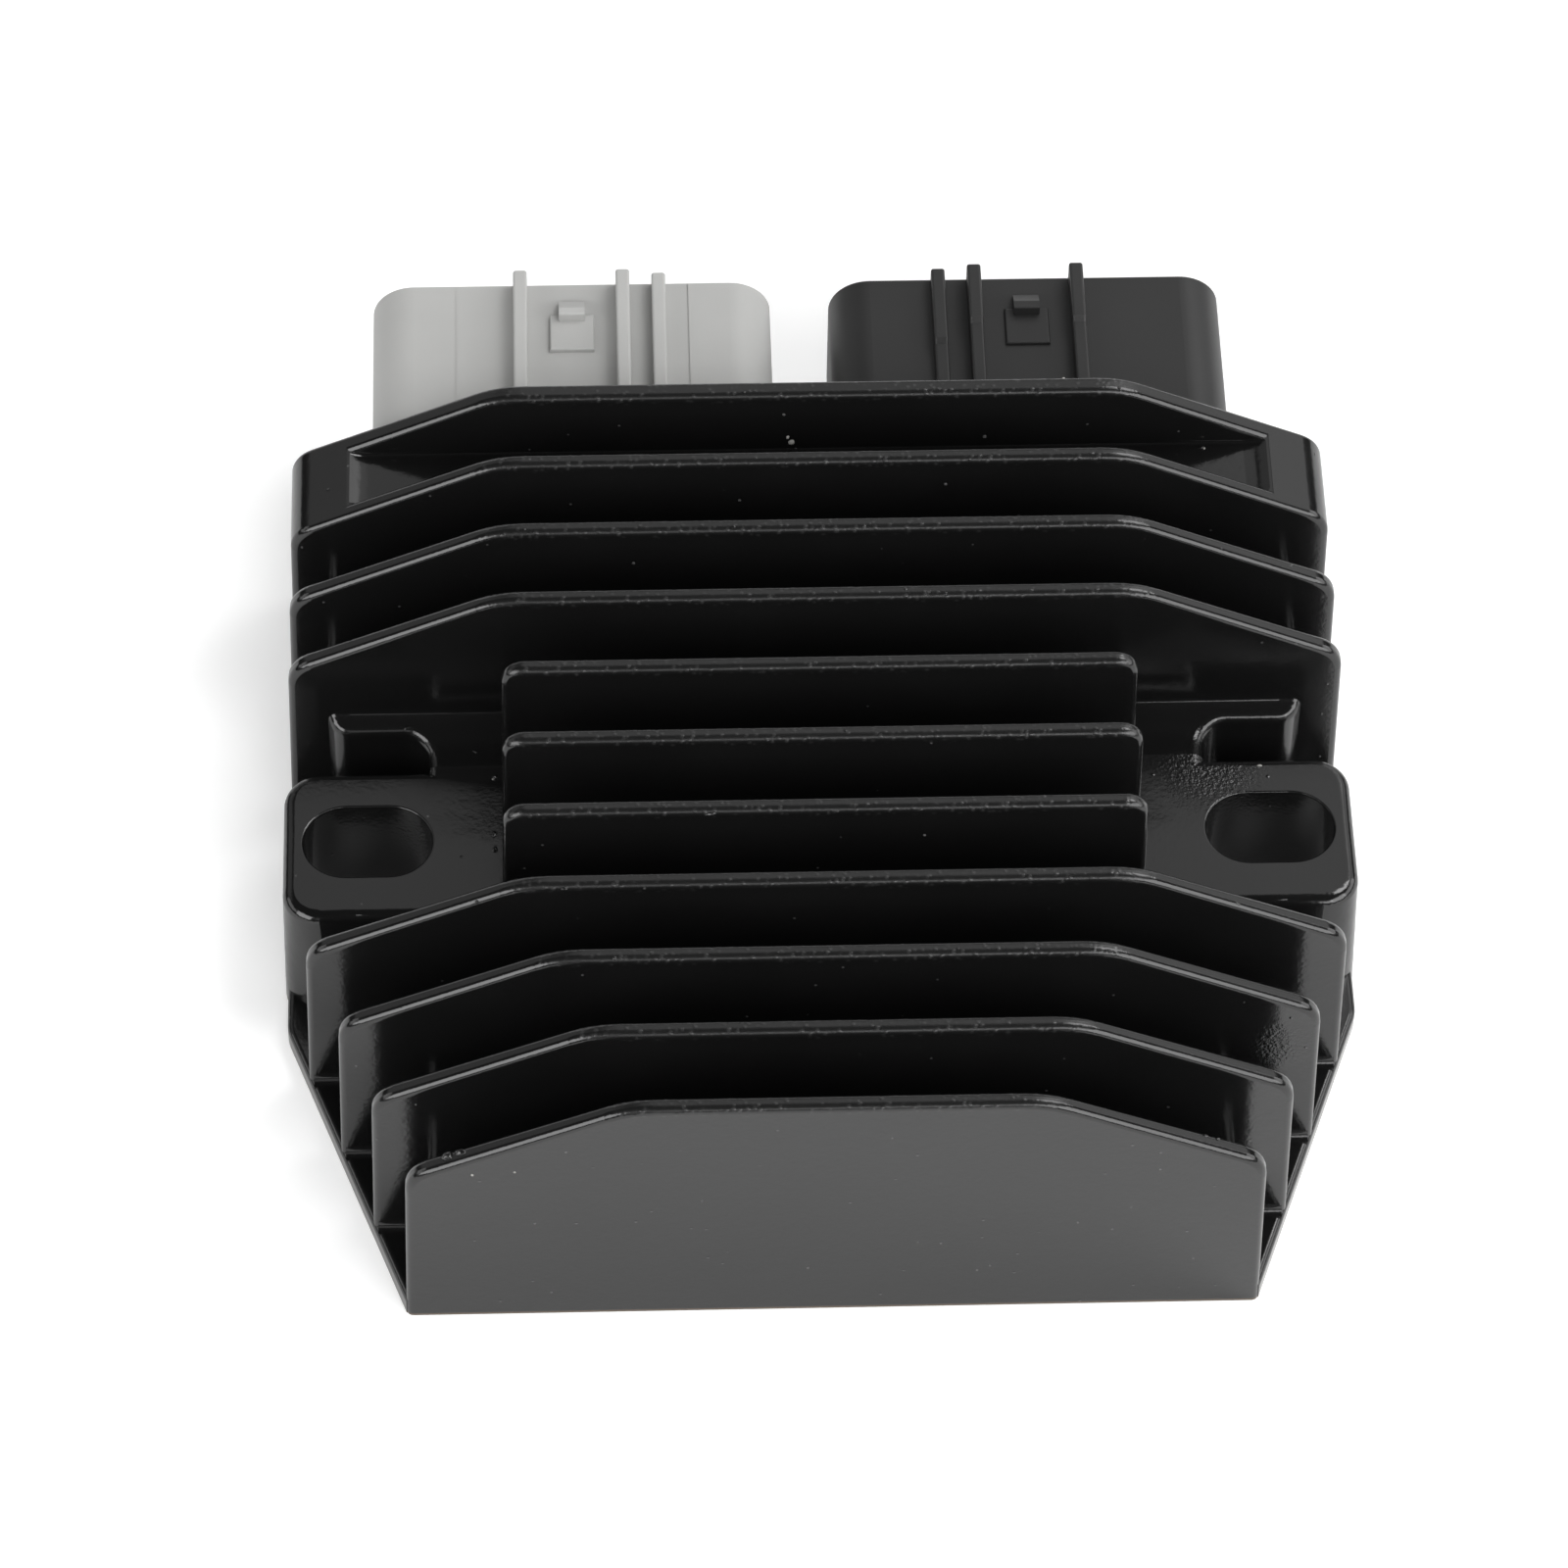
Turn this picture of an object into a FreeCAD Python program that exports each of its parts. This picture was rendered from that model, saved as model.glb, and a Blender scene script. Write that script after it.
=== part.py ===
"""Finned voltage regulator and rectifier with two plug-in connectors.

Frame: millimetres, +Z up, +Y towards the connectors. The origin lies on the base plane,
halfway between the two mounting slots. The fins are counted from the front wall (0) to the
rear wall (10).
"""

import FreeCAD
import Part
import math
import os

V = FreeCAD.Vector
UP = V(0, 0, 1)

# Fins
FIN_COUNT = 11
FIN_PITCH = 8.3
FIN_TOP_THICKNESS = 1.6
LAST_FIN_THICKNESS = 2.0        # the last fin is also the rear wall
FIN_HEIGHT = 31.0
FIN_FACE_DRAFT = 0.6            # degrees, on the front and rear faces
FIN_END_DRAFT = 0.5             # how far a fin's end leans out at its foot
FIN_EDGE_RADIUS = 0.65
FIN_ROOT_RADIUS = 0.8
SHOULDER_HEIGHT = 21.3          # where the slope meets the fin's end
SLOPE_RUN = 19.8                # horizontal length of the slope
KNEE_RADIUS = 10.0              # between the flat top and the slope
SHOULDER_RADIUS = 3.5
TAPERED_FINS = 4                # the first fins follow the base plate's taper
SHORT_FINS = 3                  # the next ones stop between the two mounting decks
SHORT_FIN_RADIUS = 2.1
SHELF_HEIGHT = 23.3             # floor of the pocket between the last two fins
POCKET_HALF = 44.2              # where its rounded ends come up through the slope
POCKET_END_RADIUS = 5.0
POCKET_FLOOR_RADIUS = 0.5

# Base plate and mounting decks
BASE_HALF_WIDTH = 50.1
BASE_FRONT_HALF = 38.9
BASE_TAPER_LENGTH = 30.6
BASE_THICKNESS = 2.2
BASE_CORNER_RADIUS = 4.0
BASE_EDGE_RADIUS = 0.6
SLOT_SPACING = 84.6
SLOT_LENGTH = 12.1
SLOT_WIDTH = 8.2
SLOT_EDGE_RADIUS = 0.2
SLOT_WALL = 2.25                # metal between a slot and the room inside
BOLT_ROOM = 12.9                # from a slot's centre to the short fins' ends
DECK_END_WALL = 1.85            # from a slot's end to the deck's outer side
DECK_HEIGHT = 13.0
DECK_AHEAD = 8.7                # deck in front of the slots' line
DECK_BEHIND = 8.4
DECK_TO_REAR_FINS = 5.5         # from the decks' rear sides to the first rear fin
DECK_CORNER_RADIUS = 3.4
DECK_EDGE_RADIUS = 1.1
DECK_SIDE_DRAFT = 0.2           # how far the deck's sides lean out at their foot
DECK_FRONT_DRAFT = 3.3          # the same at its front, under which the casting flows in
DECK_FOOT_RADIUS = 4.6          # in plan, at the front corner's foot

# Body under the fins
REAR_BODY_HALF = 46.2
REAR_BODY_LEDGE = 1.7           # the rear body stands this far in front of its first fin
REAR_BODY_RADIUS = 2.2
COVE_RISE = 2.2                 # the deck climbs this much to the rear fins
COVE_FOOT_RADIUS = 0.5
NOTCH_RADIUS = 2.3
NOTCH_RIM_RADIUS = 1.0

# Room on the underside
WALL = 2.6
REAR_WALL = 2.2
ROOF = 3.5
SHELF_ROOF = 2.0
ROOM_RADIUS = 3.0
FILL_RECESS = 0.6               # the filling ends this far above the base plane

# Connectors
SHELL_LENGTH = 20.4             # from the rear wall's face to the mouth
SHELL_TOP = 22.4
SHELL_HEIGHT = 18.0
SHELL_RADIUS = 4.0
SHELL_WALL = 1.9
SHELL_BACK = 3.2
SHELL_EDGE_RADIUS = 0.35
SPIGOT_INSET = 2.6              # the spigot through the rear wall is this much smaller
SPIGOT_LENGTH = 3.4
SPIGOT_CLEARANCE = 0.1
STATOR_SHELL_CENTRE, STATOR_SHELL_WIDTH = -22.5, 38.9
OUTPUT_SHELL_CENTRE, OUTPUT_SHELL_WIDTH = 21.85, 38.3
RIB_WIDTH = 1.35
RIB_HEIGHT = 2.2
LOW_RIB_HEIGHT = 1.6
RIB_OFFSETS = (-5.0, 5.0)       # the tall ribs, from the shell's centre
LOW_RIB_OFFSET = 8.5
RIB_EDGE_RADIUS = 0.25
RIB_KINK, LOW_RIB_KINK = 7.0, 9.1  # where the black shell's ribs step down, from the mouth
RIB_KINK_DROP = 0.45
LATCH_OFFSET = 0.0
LATCH_WIDTH, LATCH_LENGTH, LATCH_HEIGHT = 2.5, 2.6, 1.4
LATCH_CREST = 0.85              # length of its flat top, ahead of the ramp
LATCH_FOOT = 0.35               # height of the ramp's lower end
LATCH_SETBACK = 2.6             # from the mouth
PAD_WIDTH, PAD_LENGTH, PAD_HEIGHT = 4.3, 4.5, 0.35
PANEL_HALF, PANEL_STEP = 11.4, 0.12  # shallow step along the middle of the grey shell's top

# Blades, board and components
BLADE_PITCH = 11.0
BLADE_WIDTH = 6.3
BLADE_THICKNESS = 0.8
BLADE_SETBACK = 4.5             # blade tip to mouth
BLADE_BEND = 1.2                # inner radius where the blade turns down
BLADE_LEG_GAP = 0.3             # between the spigot's end and the bend
BOARD_BOTTOM = 2.6
BOARD_THICKNESS = 1.6
BOARD_MARGIN = 1.0              # board edge to the room's wall
PAD_SHEET_THICKNESS = 0.3
DEVICE_WIDTH, DEVICE_LENGTH, DEVICE_THICKNESS = 15.6, 17.5, 4.4
DEVICE_COLUMNS, DEVICE_ROWS = 3, 2
LEAD_WIDTH, LEAD_THICKNESS, LEAD_PITCH, LEAD_REACH = 1.2, 0.6, 5.0, 2.6
CHIP_SIZE = (10.3, 7.5, 2.4)
CAPACITOR_RADIUS, CAPACITOR_HEIGHT = 4.0, 6.8
RESISTOR_SIZE = (6.4, 3.2, 0.7)
CAPACITOR_PLACE, RESISTOR_PLACE = 0.37, 0.69  # from the middle, as a share of the room's half

# Worked out from the above
FIRST_REAR_FIN = TAPERED_FINS + SHORT_FINS
FRONT = DECK_BEHIND + DECK_TO_REAR_FINS - FIRST_REAR_FIN * FIN_PITCH
LENGTH = (FIN_COUNT - 1) * FIN_PITCH + LAST_FIN_THICKNESS
REAR = FRONT + LENGTH
MOUTH = REAR + SHELL_LENGTH
DECK_FRONT, DECK_REAR = -DECK_AHEAD, DECK_BEHIND
DECK_HALF = SLOT_SPACING / 2 + SLOT_LENGTH / 2 + DECK_END_WALL
SHORT_FIN_HALF = SLOT_SPACING / 2 - BOLT_ROOM
REAR_BODY_FRONT = FRONT + FIRST_REAR_FIN * FIN_PITCH - REAR_BODY_LEDGE
REAR_BODY_HEIGHT = DECK_HEIGHT + COVE_RISE
BOARD_TOP = BOARD_BOTTOM + BOARD_THICKNESS
BLADE_LEG = REAR - SPIGOT_LENGTH - BLADE_LEG_GAP - BLADE_BEND - BLADE_THICKNESS
FRONT_ROOM_HALF = SLOT_SPACING / 2 - SLOT_LENGTH / 2 - SLOT_WALL
FRONT_BODY_HALF = FRONT_ROOM_HALF + WALL
REAR_ROOM_HALF = REAR_BODY_HALF - WALL
ROOM_FRONT = FRONT + WALL
REAR_ROOM_FRONT = REAR_BODY_FRONT + WALL
ROOM_REAR = REAR - REAR_WALL
FRONT_ROOM_TOP = DECK_HEIGHT - ROOF
REAR_ROOM_TOP = REAR_BODY_HEIGHT - ROOF
DEVICE_PITCH_X = 2 * FRONT_ROOM_HALF / DEVICE_COLUMNS
DEVICE_PITCH_Y = (REAR_ROOM_FRONT - ROOM_FRONT) / DEVICE_ROWS
SHELL_MIDDLE = SHELL_TOP - SHELL_HEIGHT / 2
FACE_LEAN = math.tan(math.radians(FIN_FACE_DRAFT))


def flat(u, v):
    return V(u, v, 0)


def across(u, v):
    """Outline drawn in X and Z."""
    return V(u, 0, v)


def along(u, v):
    """Outline drawn in Y and Z."""
    return V(0, u, v)


def rounded_face(corners, place):
    """Closed face through (u, v, radius) corners, each rounded by its own radius."""
    arcs = []
    for i, (u, v, radius) in enumerate(corners):
        here = V(u, v, 0)
        back = (V(*corners[i - 1][:2], 0) - here).normalize()
        ahead = (V(*corners[(i + 1) % len(corners)][:2], 0) - here).normalize()
        half = back.getAngle(ahead) / 2
        cut = radius / math.tan(half)
        inward = (back + ahead).normalize() if radius else V()
        middle = here + inward * (radius / math.sin(half) - radius)
        arcs.append((here + back * cut, middle, here + ahead * cut, radius))
    edges = []
    for i, (start, middle, end, radius) in enumerate(arcs):
        points = [place(p.x, p.y) for p in (start, middle, end)]
        if radius:
            edges.append(Part.Arc(*points).toShape())
        following = arcs[(i + 1) % len(arcs)][0]
        if end.distanceToPoint(following) > 1e-6:
            edges.append(Part.makeLine(points[2], place(following.x, following.y)))
    return Part.Face(Part.Wire(edges))


def prism_x(corners, x0, x1):
    face = rounded_face(corners, along)
    face.translate(V(x0, 0, 0))
    return face.extrude(V(x1 - x0, 0, 0))


def prism_y(corners, y0, y1):
    face = rounded_face(corners, across)
    face.translate(V(0, y0, 0))
    return face.extrude(V(0, y1 - y0, 0))


def prism_z(corners, z0, z1):
    face = rounded_face(corners, flat)
    face.translate(V(0, 0, z0))
    return face.extrude(V(0, 0, z1 - z0))


def box(x0, x1, y0, y1, z0, z1):
    return Part.makeBox(x1 - x0, y1 - y0, z1 - z0, V(x0, y0, z0))


def mirrored(shape):
    return shape.mirror(V(), V(1, 0, 0))


def both_sides(shape):
    return [shape, mirrored(shape)]


def symmetric(half):
    """Corners of the right half, bottom to top, completed to the left."""
    return half + [(-u, v, r) for u, v, r in reversed(half)]


# Heatsink casting

def fin_front(n):
    return FRONT + n * FIN_PITCH


def fin_rear(n):
    return fin_front(n) + (LAST_FIN_THICKNESS if n == FIN_COUNT - 1 else FIN_TOP_THICKNESS)


def base_half_at(y):
    """Half width of the base plate at a place along Y."""
    ahead = max(0.0, FRONT + BASE_TAPER_LENGTH - y)
    return BASE_HALF_WIDTH - ahead * (BASE_HALF_WIDTH - BASE_FRONT_HALF) / BASE_TAPER_LENGTH


def fin_top_half(n):
    return base_half_at(fin_front(n)) - FIN_END_DRAFT


def is_short(n):
    return TAPERED_FINS <= n < FIRST_REAR_FIN


def long_fin_outline(half):
    return symmetric([
        (half + FIN_END_DRAFT, 0, 0),
        (half, SHOULDER_HEIGHT, SHOULDER_RADIUS),
        (half - SLOPE_RUN, FIN_HEIGHT, KNEE_RADIUS),
    ])


def short_fin_outline():
    return symmetric([
        (SHORT_FIN_HALF + FIN_END_DRAFT, 0, 0),
        (SHORT_FIN_HALF, FIN_HEIGHT, SHORT_FIN_RADIUS),
    ])


def fin(n):
    """One drafted fin with rounded edges. The rear wall's outer face stays upright."""
    front, rear = fin_front(n), fin_rear(n)
    lean = FIN_HEIGHT * FACE_LEAN
    rear_lean = 0 if n == FIN_COUNT - 1 else lean
    section = [
        (front - lean, 0, 0), (rear + rear_lean, 0, 0),
        (rear, FIN_HEIGHT, 0), (front, FIN_HEIGHT, 0),
    ]
    outline = short_fin_outline() if is_short(n) else long_fin_outline(fin_top_half(n))
    reach = BASE_HALF_WIDTH + 1
    solid = prism_y(outline, front - 1, rear + 1).common(prism_x(section, -reach, reach))
    edges = [e for e in solid.Edges
             if e.BoundBox.YLength < FIN_TOP_THICKNESS / 2 and e.BoundBox.ZMax > BASE_THICKNESS]
    return solid.makeFillet(FIN_EDGE_RADIUS, edges)


def root_fillets(n):
    """Concave fillets where a fin's long faces rise from the base plate."""
    if is_short(n):
        return []
    half = fin_top_half(n)
    lean = (FIN_HEIGHT - BASE_THICKNESS) * FACE_LEAN
    r = FIN_ROOT_RADIUS
    sides = []
    if n > 0:
        sides.append((fin_front(n) - lean, -1))
    if n < FIN_COUNT - 1:
        sides.append((fin_rear(n) + lean, 1))
    solids = []
    for y, way in sides:
        inner = y - way * 0.5
        blank = box(-half, half, min(inner, y + way * r), max(inner, y + way * r),
                    BASE_THICKNESS - 0.5, BASE_THICKNESS + r)
        bore = Part.makeCylinder(r, 2 * half, V(-half, y + way * r, BASE_THICKNESS + r), V(1, 0, 0))
        solids.append(blank.cut(bore))
    return solids


def base_plate():
    r = BASE_CORNER_RADIUS
    corners = [
        (-BASE_FRONT_HALF, FRONT, 0), (BASE_FRONT_HALF, FRONT, 0),
        (BASE_HALF_WIDTH, FRONT + BASE_TAPER_LENGTH, r), (BASE_HALF_WIDTH, REAR, 1.0),
        (-BASE_HALF_WIDTH, REAR, 1.0), (-BASE_HALF_WIDTH, FRONT + BASE_TAPER_LENGTH, r),
    ]
    plate = prism_z(corners, 0, BASE_THICKNESS)
    top_edges = [e for e in plate.Edges
                 if e.BoundBox.ZMin > BASE_THICKNESS - 0.01 and e.BoundBox.YMin < REAR - 0.01
                 and e.BoundBox.YMax > FRONT + 0.01]
    return plate.makeFillet(BASE_EDGE_RADIUS, top_edges)


def deck():
    """Right-hand mounting deck: a tall block with drafted sides, joined to the body. Its front
    leans out most."""
    inner = FRONT_BODY_HALF - 3

    def outline(grow, front, front_radius, z):
        wire = rounded_face([
            (inner, front, 0), (DECK_HALF + grow, front, front_radius),
            (DECK_HALF + grow, DECK_REAR + grow, DECK_CORNER_RADIUS), (inner, DECK_REAR + grow, 0),
        ], flat).OuterWire
        wire.translate(V(0, 0, z))
        return wire

    foot = outline(DECK_SIDE_DRAFT, DECK_FRONT - DECK_FRONT_DRAFT, DECK_FOOT_RADIUS, 0)
    top = outline(0, DECK_FRONT, DECK_CORNER_RADIUS, DECK_HEIGHT)
    block = Part.makeLoft([foot, top], True, True)
    edges = [e for e in block.Edges
             if e.BoundBox.ZMin > DECK_HEIGHT - 0.01 and e.BoundBox.XMax > inner + 0.1]
    return block.makeFillet(DECK_EDGE_RADIUS, edges)


def slot_cutter():
    """Slotted hole through the right-hand deck."""
    x, half, r = SLOT_SPACING / 2, SLOT_LENGTH / 2, SLOT_WIDTH / 2
    return prism_z([(x - half, -r, r), (x + half, -r, r), (x + half, r, r), (x - half, r, r)],
                   -1, DECK_HEIGHT + 1)


def slot_mouths(body):
    """Edges where the slotted holes meet the top of the decks."""
    reach = SLOT_LENGTH / 2 + 0.1
    return [e for e in body.Edges
            if abs(abs(e.BoundBox.Center.x) - SLOT_SPACING / 2) < reach
            and abs(e.BoundBox.Center.y) < SLOT_WIDTH / 2 + 0.1
            and abs(e.BoundBox.ZMin - DECK_HEIGHT) < 0.01 and e.BoundBox.ZLength < 0.01]


def front_body():
    """Low block under the front and middle fins."""
    half, r = FRONT_BODY_HALF, 1.0
    corners = symmetric([(half, 0, 0), (half, DECK_HEIGHT, r)])
    return prism_y(corners, FRONT + 0.2, REAR_BODY_FRONT + 1)


def cove_radius():
    run = fin_front(FIRST_REAR_FIN) - DECK_REAR
    return (run ** 2 + COVE_RISE ** 2) / (2 * COVE_RISE)


def cove_foot():
    """Small concave fillet between the cove and the face of the first rear fin."""
    radius = cove_radius()
    y = fin_front(FIRST_REAR_FIN) - (FIN_HEIGHT - REAR_BODY_HEIGHT) * FACE_LEAN
    slope = math.asin((y - DECK_REAR) / radius)
    z = DECK_HEIGHT + radius * (1 - math.cos(slope))
    reach = 2 * COVE_FOOT_RADIUS
    low_y, low_z = y - reach * math.cos(slope), z - reach * math.sin(slope)
    corners = [(low_y, low_z - reach, 0), (y + reach / 2, low_z - reach, 0),
               (y + reach / 2, z + reach, 0), (y, z + reach, 0),
               (y, z, COVE_FOOT_RADIUS), (low_y, low_z, 0)]
    half = REAR_BODY_HALF - REAR_BODY_RADIUS
    return prism_x(corners, -half, half)


def rear_body():
    """Wider block under the rear fins. A cove climbs over it from the decks to its first fin,
    and its front leaves a notch behind each deck, rounded at the inner end."""
    right = [
        (FRONT_BODY_HALF, DECK_REAR - 2, 0), (FRONT_BODY_HALF, REAR_BODY_FRONT, NOTCH_RADIUS),
        (REAR_BODY_HALF, REAR_BODY_FRONT, REAR_BODY_RADIUS), (REAR_BODY_HALF, REAR, 0),
    ]
    block = prism_z(symmetric(right), 0, REAR_BODY_HEIGHT)
    radius = cove_radius()
    reach = 2 * REAR_BODY_HALF
    roller = Part.makeCylinder(radius, 2 * reach,
                               V(-reach, DECK_REAR, DECK_HEIGHT + radius), V(1, 0, 0))
    ahead = box(-reach, reach, DECK_REAR - 3, DECK_REAR, DECK_HEIGHT, DECK_HEIGHT + radius)
    block = block.cut([roller, ahead])
    rim = [e for e in block.Edges
           if e.BoundBox.ZMin > DECK_HEIGHT - 0.01 and e.BoundBox.YMin < REAR - 0.01
           and min(abs(e.BoundBox.XMin), abs(e.BoundBox.XMax)) > FRONT_BODY_HALF - 0.1]
    return block.makeFillet(NOTCH_RIM_RADIUS, rim)


def pocket_reach():
    """Half length of the pocket's cutter. Its rounded ends meet the slope at POCKET_HALF."""
    slope = (FIN_HEIGHT - SHOULDER_HEIGHT) / SLOPE_RUN
    rise = SHOULDER_HEIGHT + (fin_top_half(FIN_COUNT - 1) - POCKET_HALF) * slope - SHELF_HEIGHT
    return POCKET_HALF - math.sqrt(rise * (2 * POCKET_END_RADIUS - rise)) + POCKET_END_RADIUS


def pocket_link():
    """The last two fins are joined up to their outline, but for a pocket with a flat floor."""
    front, rear = fin_rear(FIN_COUNT - 2), fin_front(FIN_COUNT - 1)
    sunk, half = 0.1, pocket_reach()
    link = prism_y(long_fin_outline(fin_top_half(FIN_COUNT - 1)), front - 0.8, rear + 0.8)
    pocket = prism_y(symmetric([(half, SHELF_HEIGHT, POCKET_END_RADIUS), (half, FIN_HEIGHT + 1, 0)]),
                     front - sunk, rear + sunk)
    floor = [e for e in pocket.Edges
             if e.BoundBox.ZMax < SHELF_HEIGHT + 0.01 and e.BoundBox.XLength > POCKET_HALF]
    rims = box(-POCKET_HALF, POCKET_HALF, front - 1, rear + 1,
               SHELF_HEIGHT + POCKET_FLOOR_RADIUS, FIN_HEIGHT + 1)
    return link.cut([pocket.makeFillet(POCKET_FLOOR_RADIUS, floor), rims])


def rooms(bottom):
    """The space on the underside that holds the board and takes the filling."""
    r = ROOM_RADIUS
    front = prism_z([
        (-FRONT_ROOM_HALF, ROOM_FRONT, r), (FRONT_ROOM_HALF, ROOM_FRONT, r),
        (FRONT_ROOM_HALF, REAR_ROOM_FRONT + r, 0), (-FRONT_ROOM_HALF, REAR_ROOM_FRONT + r, 0),
    ], bottom, FRONT_ROOM_TOP)
    half = REAR_ROOM_HALF
    rear = prism_z([
        (-half, REAR_ROOM_FRONT, r), (half, REAR_ROOM_FRONT, r),
        (half, ROOM_REAR, r), (-half, ROOM_REAR, r),
    ], bottom, REAR_ROOM_TOP)
    shelf_front = fin_front(FIN_COUNT - 2) + WALL
    upper = prism_z([
        (-half, shelf_front, r / 3), (half, shelf_front, r / 3),
        (half, ROOM_REAR, r / 3), (-half, ROOM_REAR, r / 3),
    ], BOARD_TOP, SHELF_HEIGHT - SHELF_ROOF)
    return front.fuse([rear, upper]).removeSplitter()


def heatsink_housing():
    body = base_plate()
    pieces = [front_body(), rear_body(), cove_foot(), pocket_link()] + both_sides(deck())
    for n in range(FIN_COUNT):
        pieces.append(fin(n))
        pieces.extend(root_fillets(n))
    body = body.fuse(pieces).removeSplitter()
    cutters = [rooms(-1)] + both_sides(slot_cutter())
    for centre, width in ((STATOR_SHELL_CENTRE, STATOR_SHELL_WIDTH),
                          (OUTPUT_SHELL_CENTRE, OUTPUT_SHELL_WIDTH)):
        cutters.append(shell_prism(centre, width, SPIGOT_INSET - SPIGOT_CLEARANCE,
                                   REAR - SPIGOT_LENGTH - SPIGOT_CLEARANCE, REAR + 1))
    body = body.cut(cutters).removeSplitter()
    return body.makeFillet(SLOT_EDGE_RADIUS, slot_mouths(body))


# Connectors

def shell_prism(centre, width, inset, y0, y1):
    """Rounded oblong bar along Y, smaller than the shell's outside by inset all round."""
    half = width / 2 - inset
    low, high = SHELL_TOP - SHELL_HEIGHT + inset, SHELL_TOP - inset
    r = max(1.0, SHELL_RADIUS - inset)
    return prism_y([(centre - half, low, r), (centre + half, low, r),
                    (centre + half, high, r), (centre - half, high, r)], y0, y1)


def soften(solid, radius, x_side):
    """Rounds a bar's upper edges: the long ones, or all round its top."""
    top = solid.BoundBox.ZMax
    edges = [e for e in solid.Edges if e.BoundBox.ZMin > SHELL_TOP + 0.01
             and (e.BoundBox.XLength < 0.01 if x_side else e.BoundBox.ZMin > top - 0.01)]
    return solid.makeFillet(radius, edges)


def rib(x, height, kink):
    """Guide rib along the shell's top. A kinked one steps down on its inner part."""
    low, top = SHELL_TOP - 0.5, SHELL_TOP + height
    corners = [(REAR, low, 0), (MOUTH, low, 0), (MOUTH, top, 0.3)]
    if kink:
        y, drop = MOUTH - kink, RIB_KINK_DROP
        corners += [(y, top, 0), (y - drop, top - drop, 0), (REAR, top - drop, 0)]
    else:
        corners.append((REAR, top, 0))
    bar = prism_x(corners, x - RIB_WIDTH / 2, x + RIB_WIDTH / 2)
    return soften(bar, RIB_EDGE_RADIUS, True)


def latch(x):
    """Small hook that the plug's latch rides over and catches, with a raised pad before it."""
    rear = MOUTH - LATCH_SETBACK
    front = rear - LATCH_LENGTH
    low, top = SHELL_TOP - 0.5, SHELL_TOP + LATCH_HEIGHT
    hook = prism_x([(front, low, 0), (rear, low, 0), (rear, SHELL_TOP + LATCH_FOOT, 0.15),
                    (front + LATCH_CREST, top, 0.3), (front, top, 0.2)],
                   x - LATCH_WIDTH / 2, x + LATCH_WIDTH / 2)
    pad_rear = front + LATCH_CREST
    pad = box(x - PAD_WIDTH / 2, x + PAD_WIDTH / 2, pad_rear - PAD_LENGTH, pad_rear,
              low, SHELL_TOP + PAD_HEIGHT)
    return [hook, soften(pad, PAD_HEIGHT / 2, False)]


def blade_places(centre):
    return [centre + (i - 1) * BLADE_PITCH for i in range(3)]


def connector(centre, width, side):
    """Connector shell. side is +1 where the low rib stands on the right, -1 on the left. The
    ribs of the latter have a step, the top of the former has one along its middle."""
    shell = shell_prism(centre, width, 0, REAR, MOUTH)
    rim = [e for e in shell.Edges if e.BoundBox.YMin > MOUTH - 0.01]
    shell = shell.makeFillet(SHELL_EDGE_RADIUS, rim)
    if side > 0:
        shell = shell.cut(box(centre - PANEL_HALF, centre + PANEL_HALF, REAR - 1, MOUTH + 1,
                              SHELL_TOP - PANEL_STEP, SHELL_TOP + 1))
    spigot = shell_prism(centre, width, SPIGOT_INSET, REAR - SPIGOT_LENGTH, REAR + 1)
    kink, low_kink = (RIB_KINK, LOW_RIB_KINK) if side < 0 else (0, 0)
    parts = [spigot] + latch(centre + LATCH_OFFSET)
    parts += [rib(centre + offset, RIB_HEIGHT, kink) for offset in RIB_OFFSETS]
    parts.append(rib(centre + side * LOW_RIB_OFFSET, LOW_RIB_HEIGHT, low_kink))
    solid = shell.fuse(parts).removeSplitter()
    solid = solid.cut(shell_prism(centre, width, SHELL_WALL, REAR + SHELL_BACK, MOUTH + 1))
    holes = [box(x - BLADE_WIDTH / 2, x + BLADE_WIDTH / 2, REAR - SPIGOT_LENGTH - 1,
                 REAR + SHELL_BACK + 1, SHELL_MIDDLE - BLADE_THICKNESS / 2,
                 SHELL_MIDDLE + BLADE_THICKNESS / 2) for x in blade_places(centre)]
    return solid.cut(holes)


def blade(x):
    """Flat contact blade that turns down to the board inside the rear room."""
    half, r = BLADE_THICKNESS / 2, BLADE_BEND
    outer = r + BLADE_THICKNESS
    tip = MOUTH - BLADE_SETBACK
    corners = [
        (BLADE_LEG, BOARD_TOP, 0), (BLADE_LEG + BLADE_THICKNESS, BOARD_TOP, 0),
        (BLADE_LEG + BLADE_THICKNESS, SHELL_MIDDLE - half, r), (tip, SHELL_MIDDLE - half, 0.2),
        (tip, SHELL_MIDDLE + half, 0.2), (BLADE_LEG, SHELL_MIDDLE + half, outer),
    ]
    return prism_x(corners, x - BLADE_WIDTH / 2, x + BLADE_WIDTH / 2)


# Board and components

def circuit_board():
    gap = BOARD_MARGIN
    front_half, rear_half = FRONT_ROOM_HALF - gap, REAR_ROOM_HALF - gap
    step = REAR_ROOM_FRONT + gap
    right = [(front_half, ROOM_FRONT + gap, 2), (front_half, step, 0),
             (rear_half, step, 2), (rear_half, ROOM_REAR - gap, 2)]
    return prism_z(symmetric(right), BOARD_BOTTOM, BOARD_TOP)


def device_places():
    """Centres of the power devices, in rows across the front room."""
    middle = (ROOM_FRONT + REAR_ROOM_FRONT) / 2 + LEAD_REACH / 2
    for row in range(DEVICE_ROWS):
        for column in range(DEVICE_COLUMNS):
            yield ((column - (DEVICE_COLUMNS - 1) / 2) * DEVICE_PITCH_X,
                   middle + (row - (DEVICE_ROWS - 1) / 2) * DEVICE_PITCH_Y)


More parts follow.
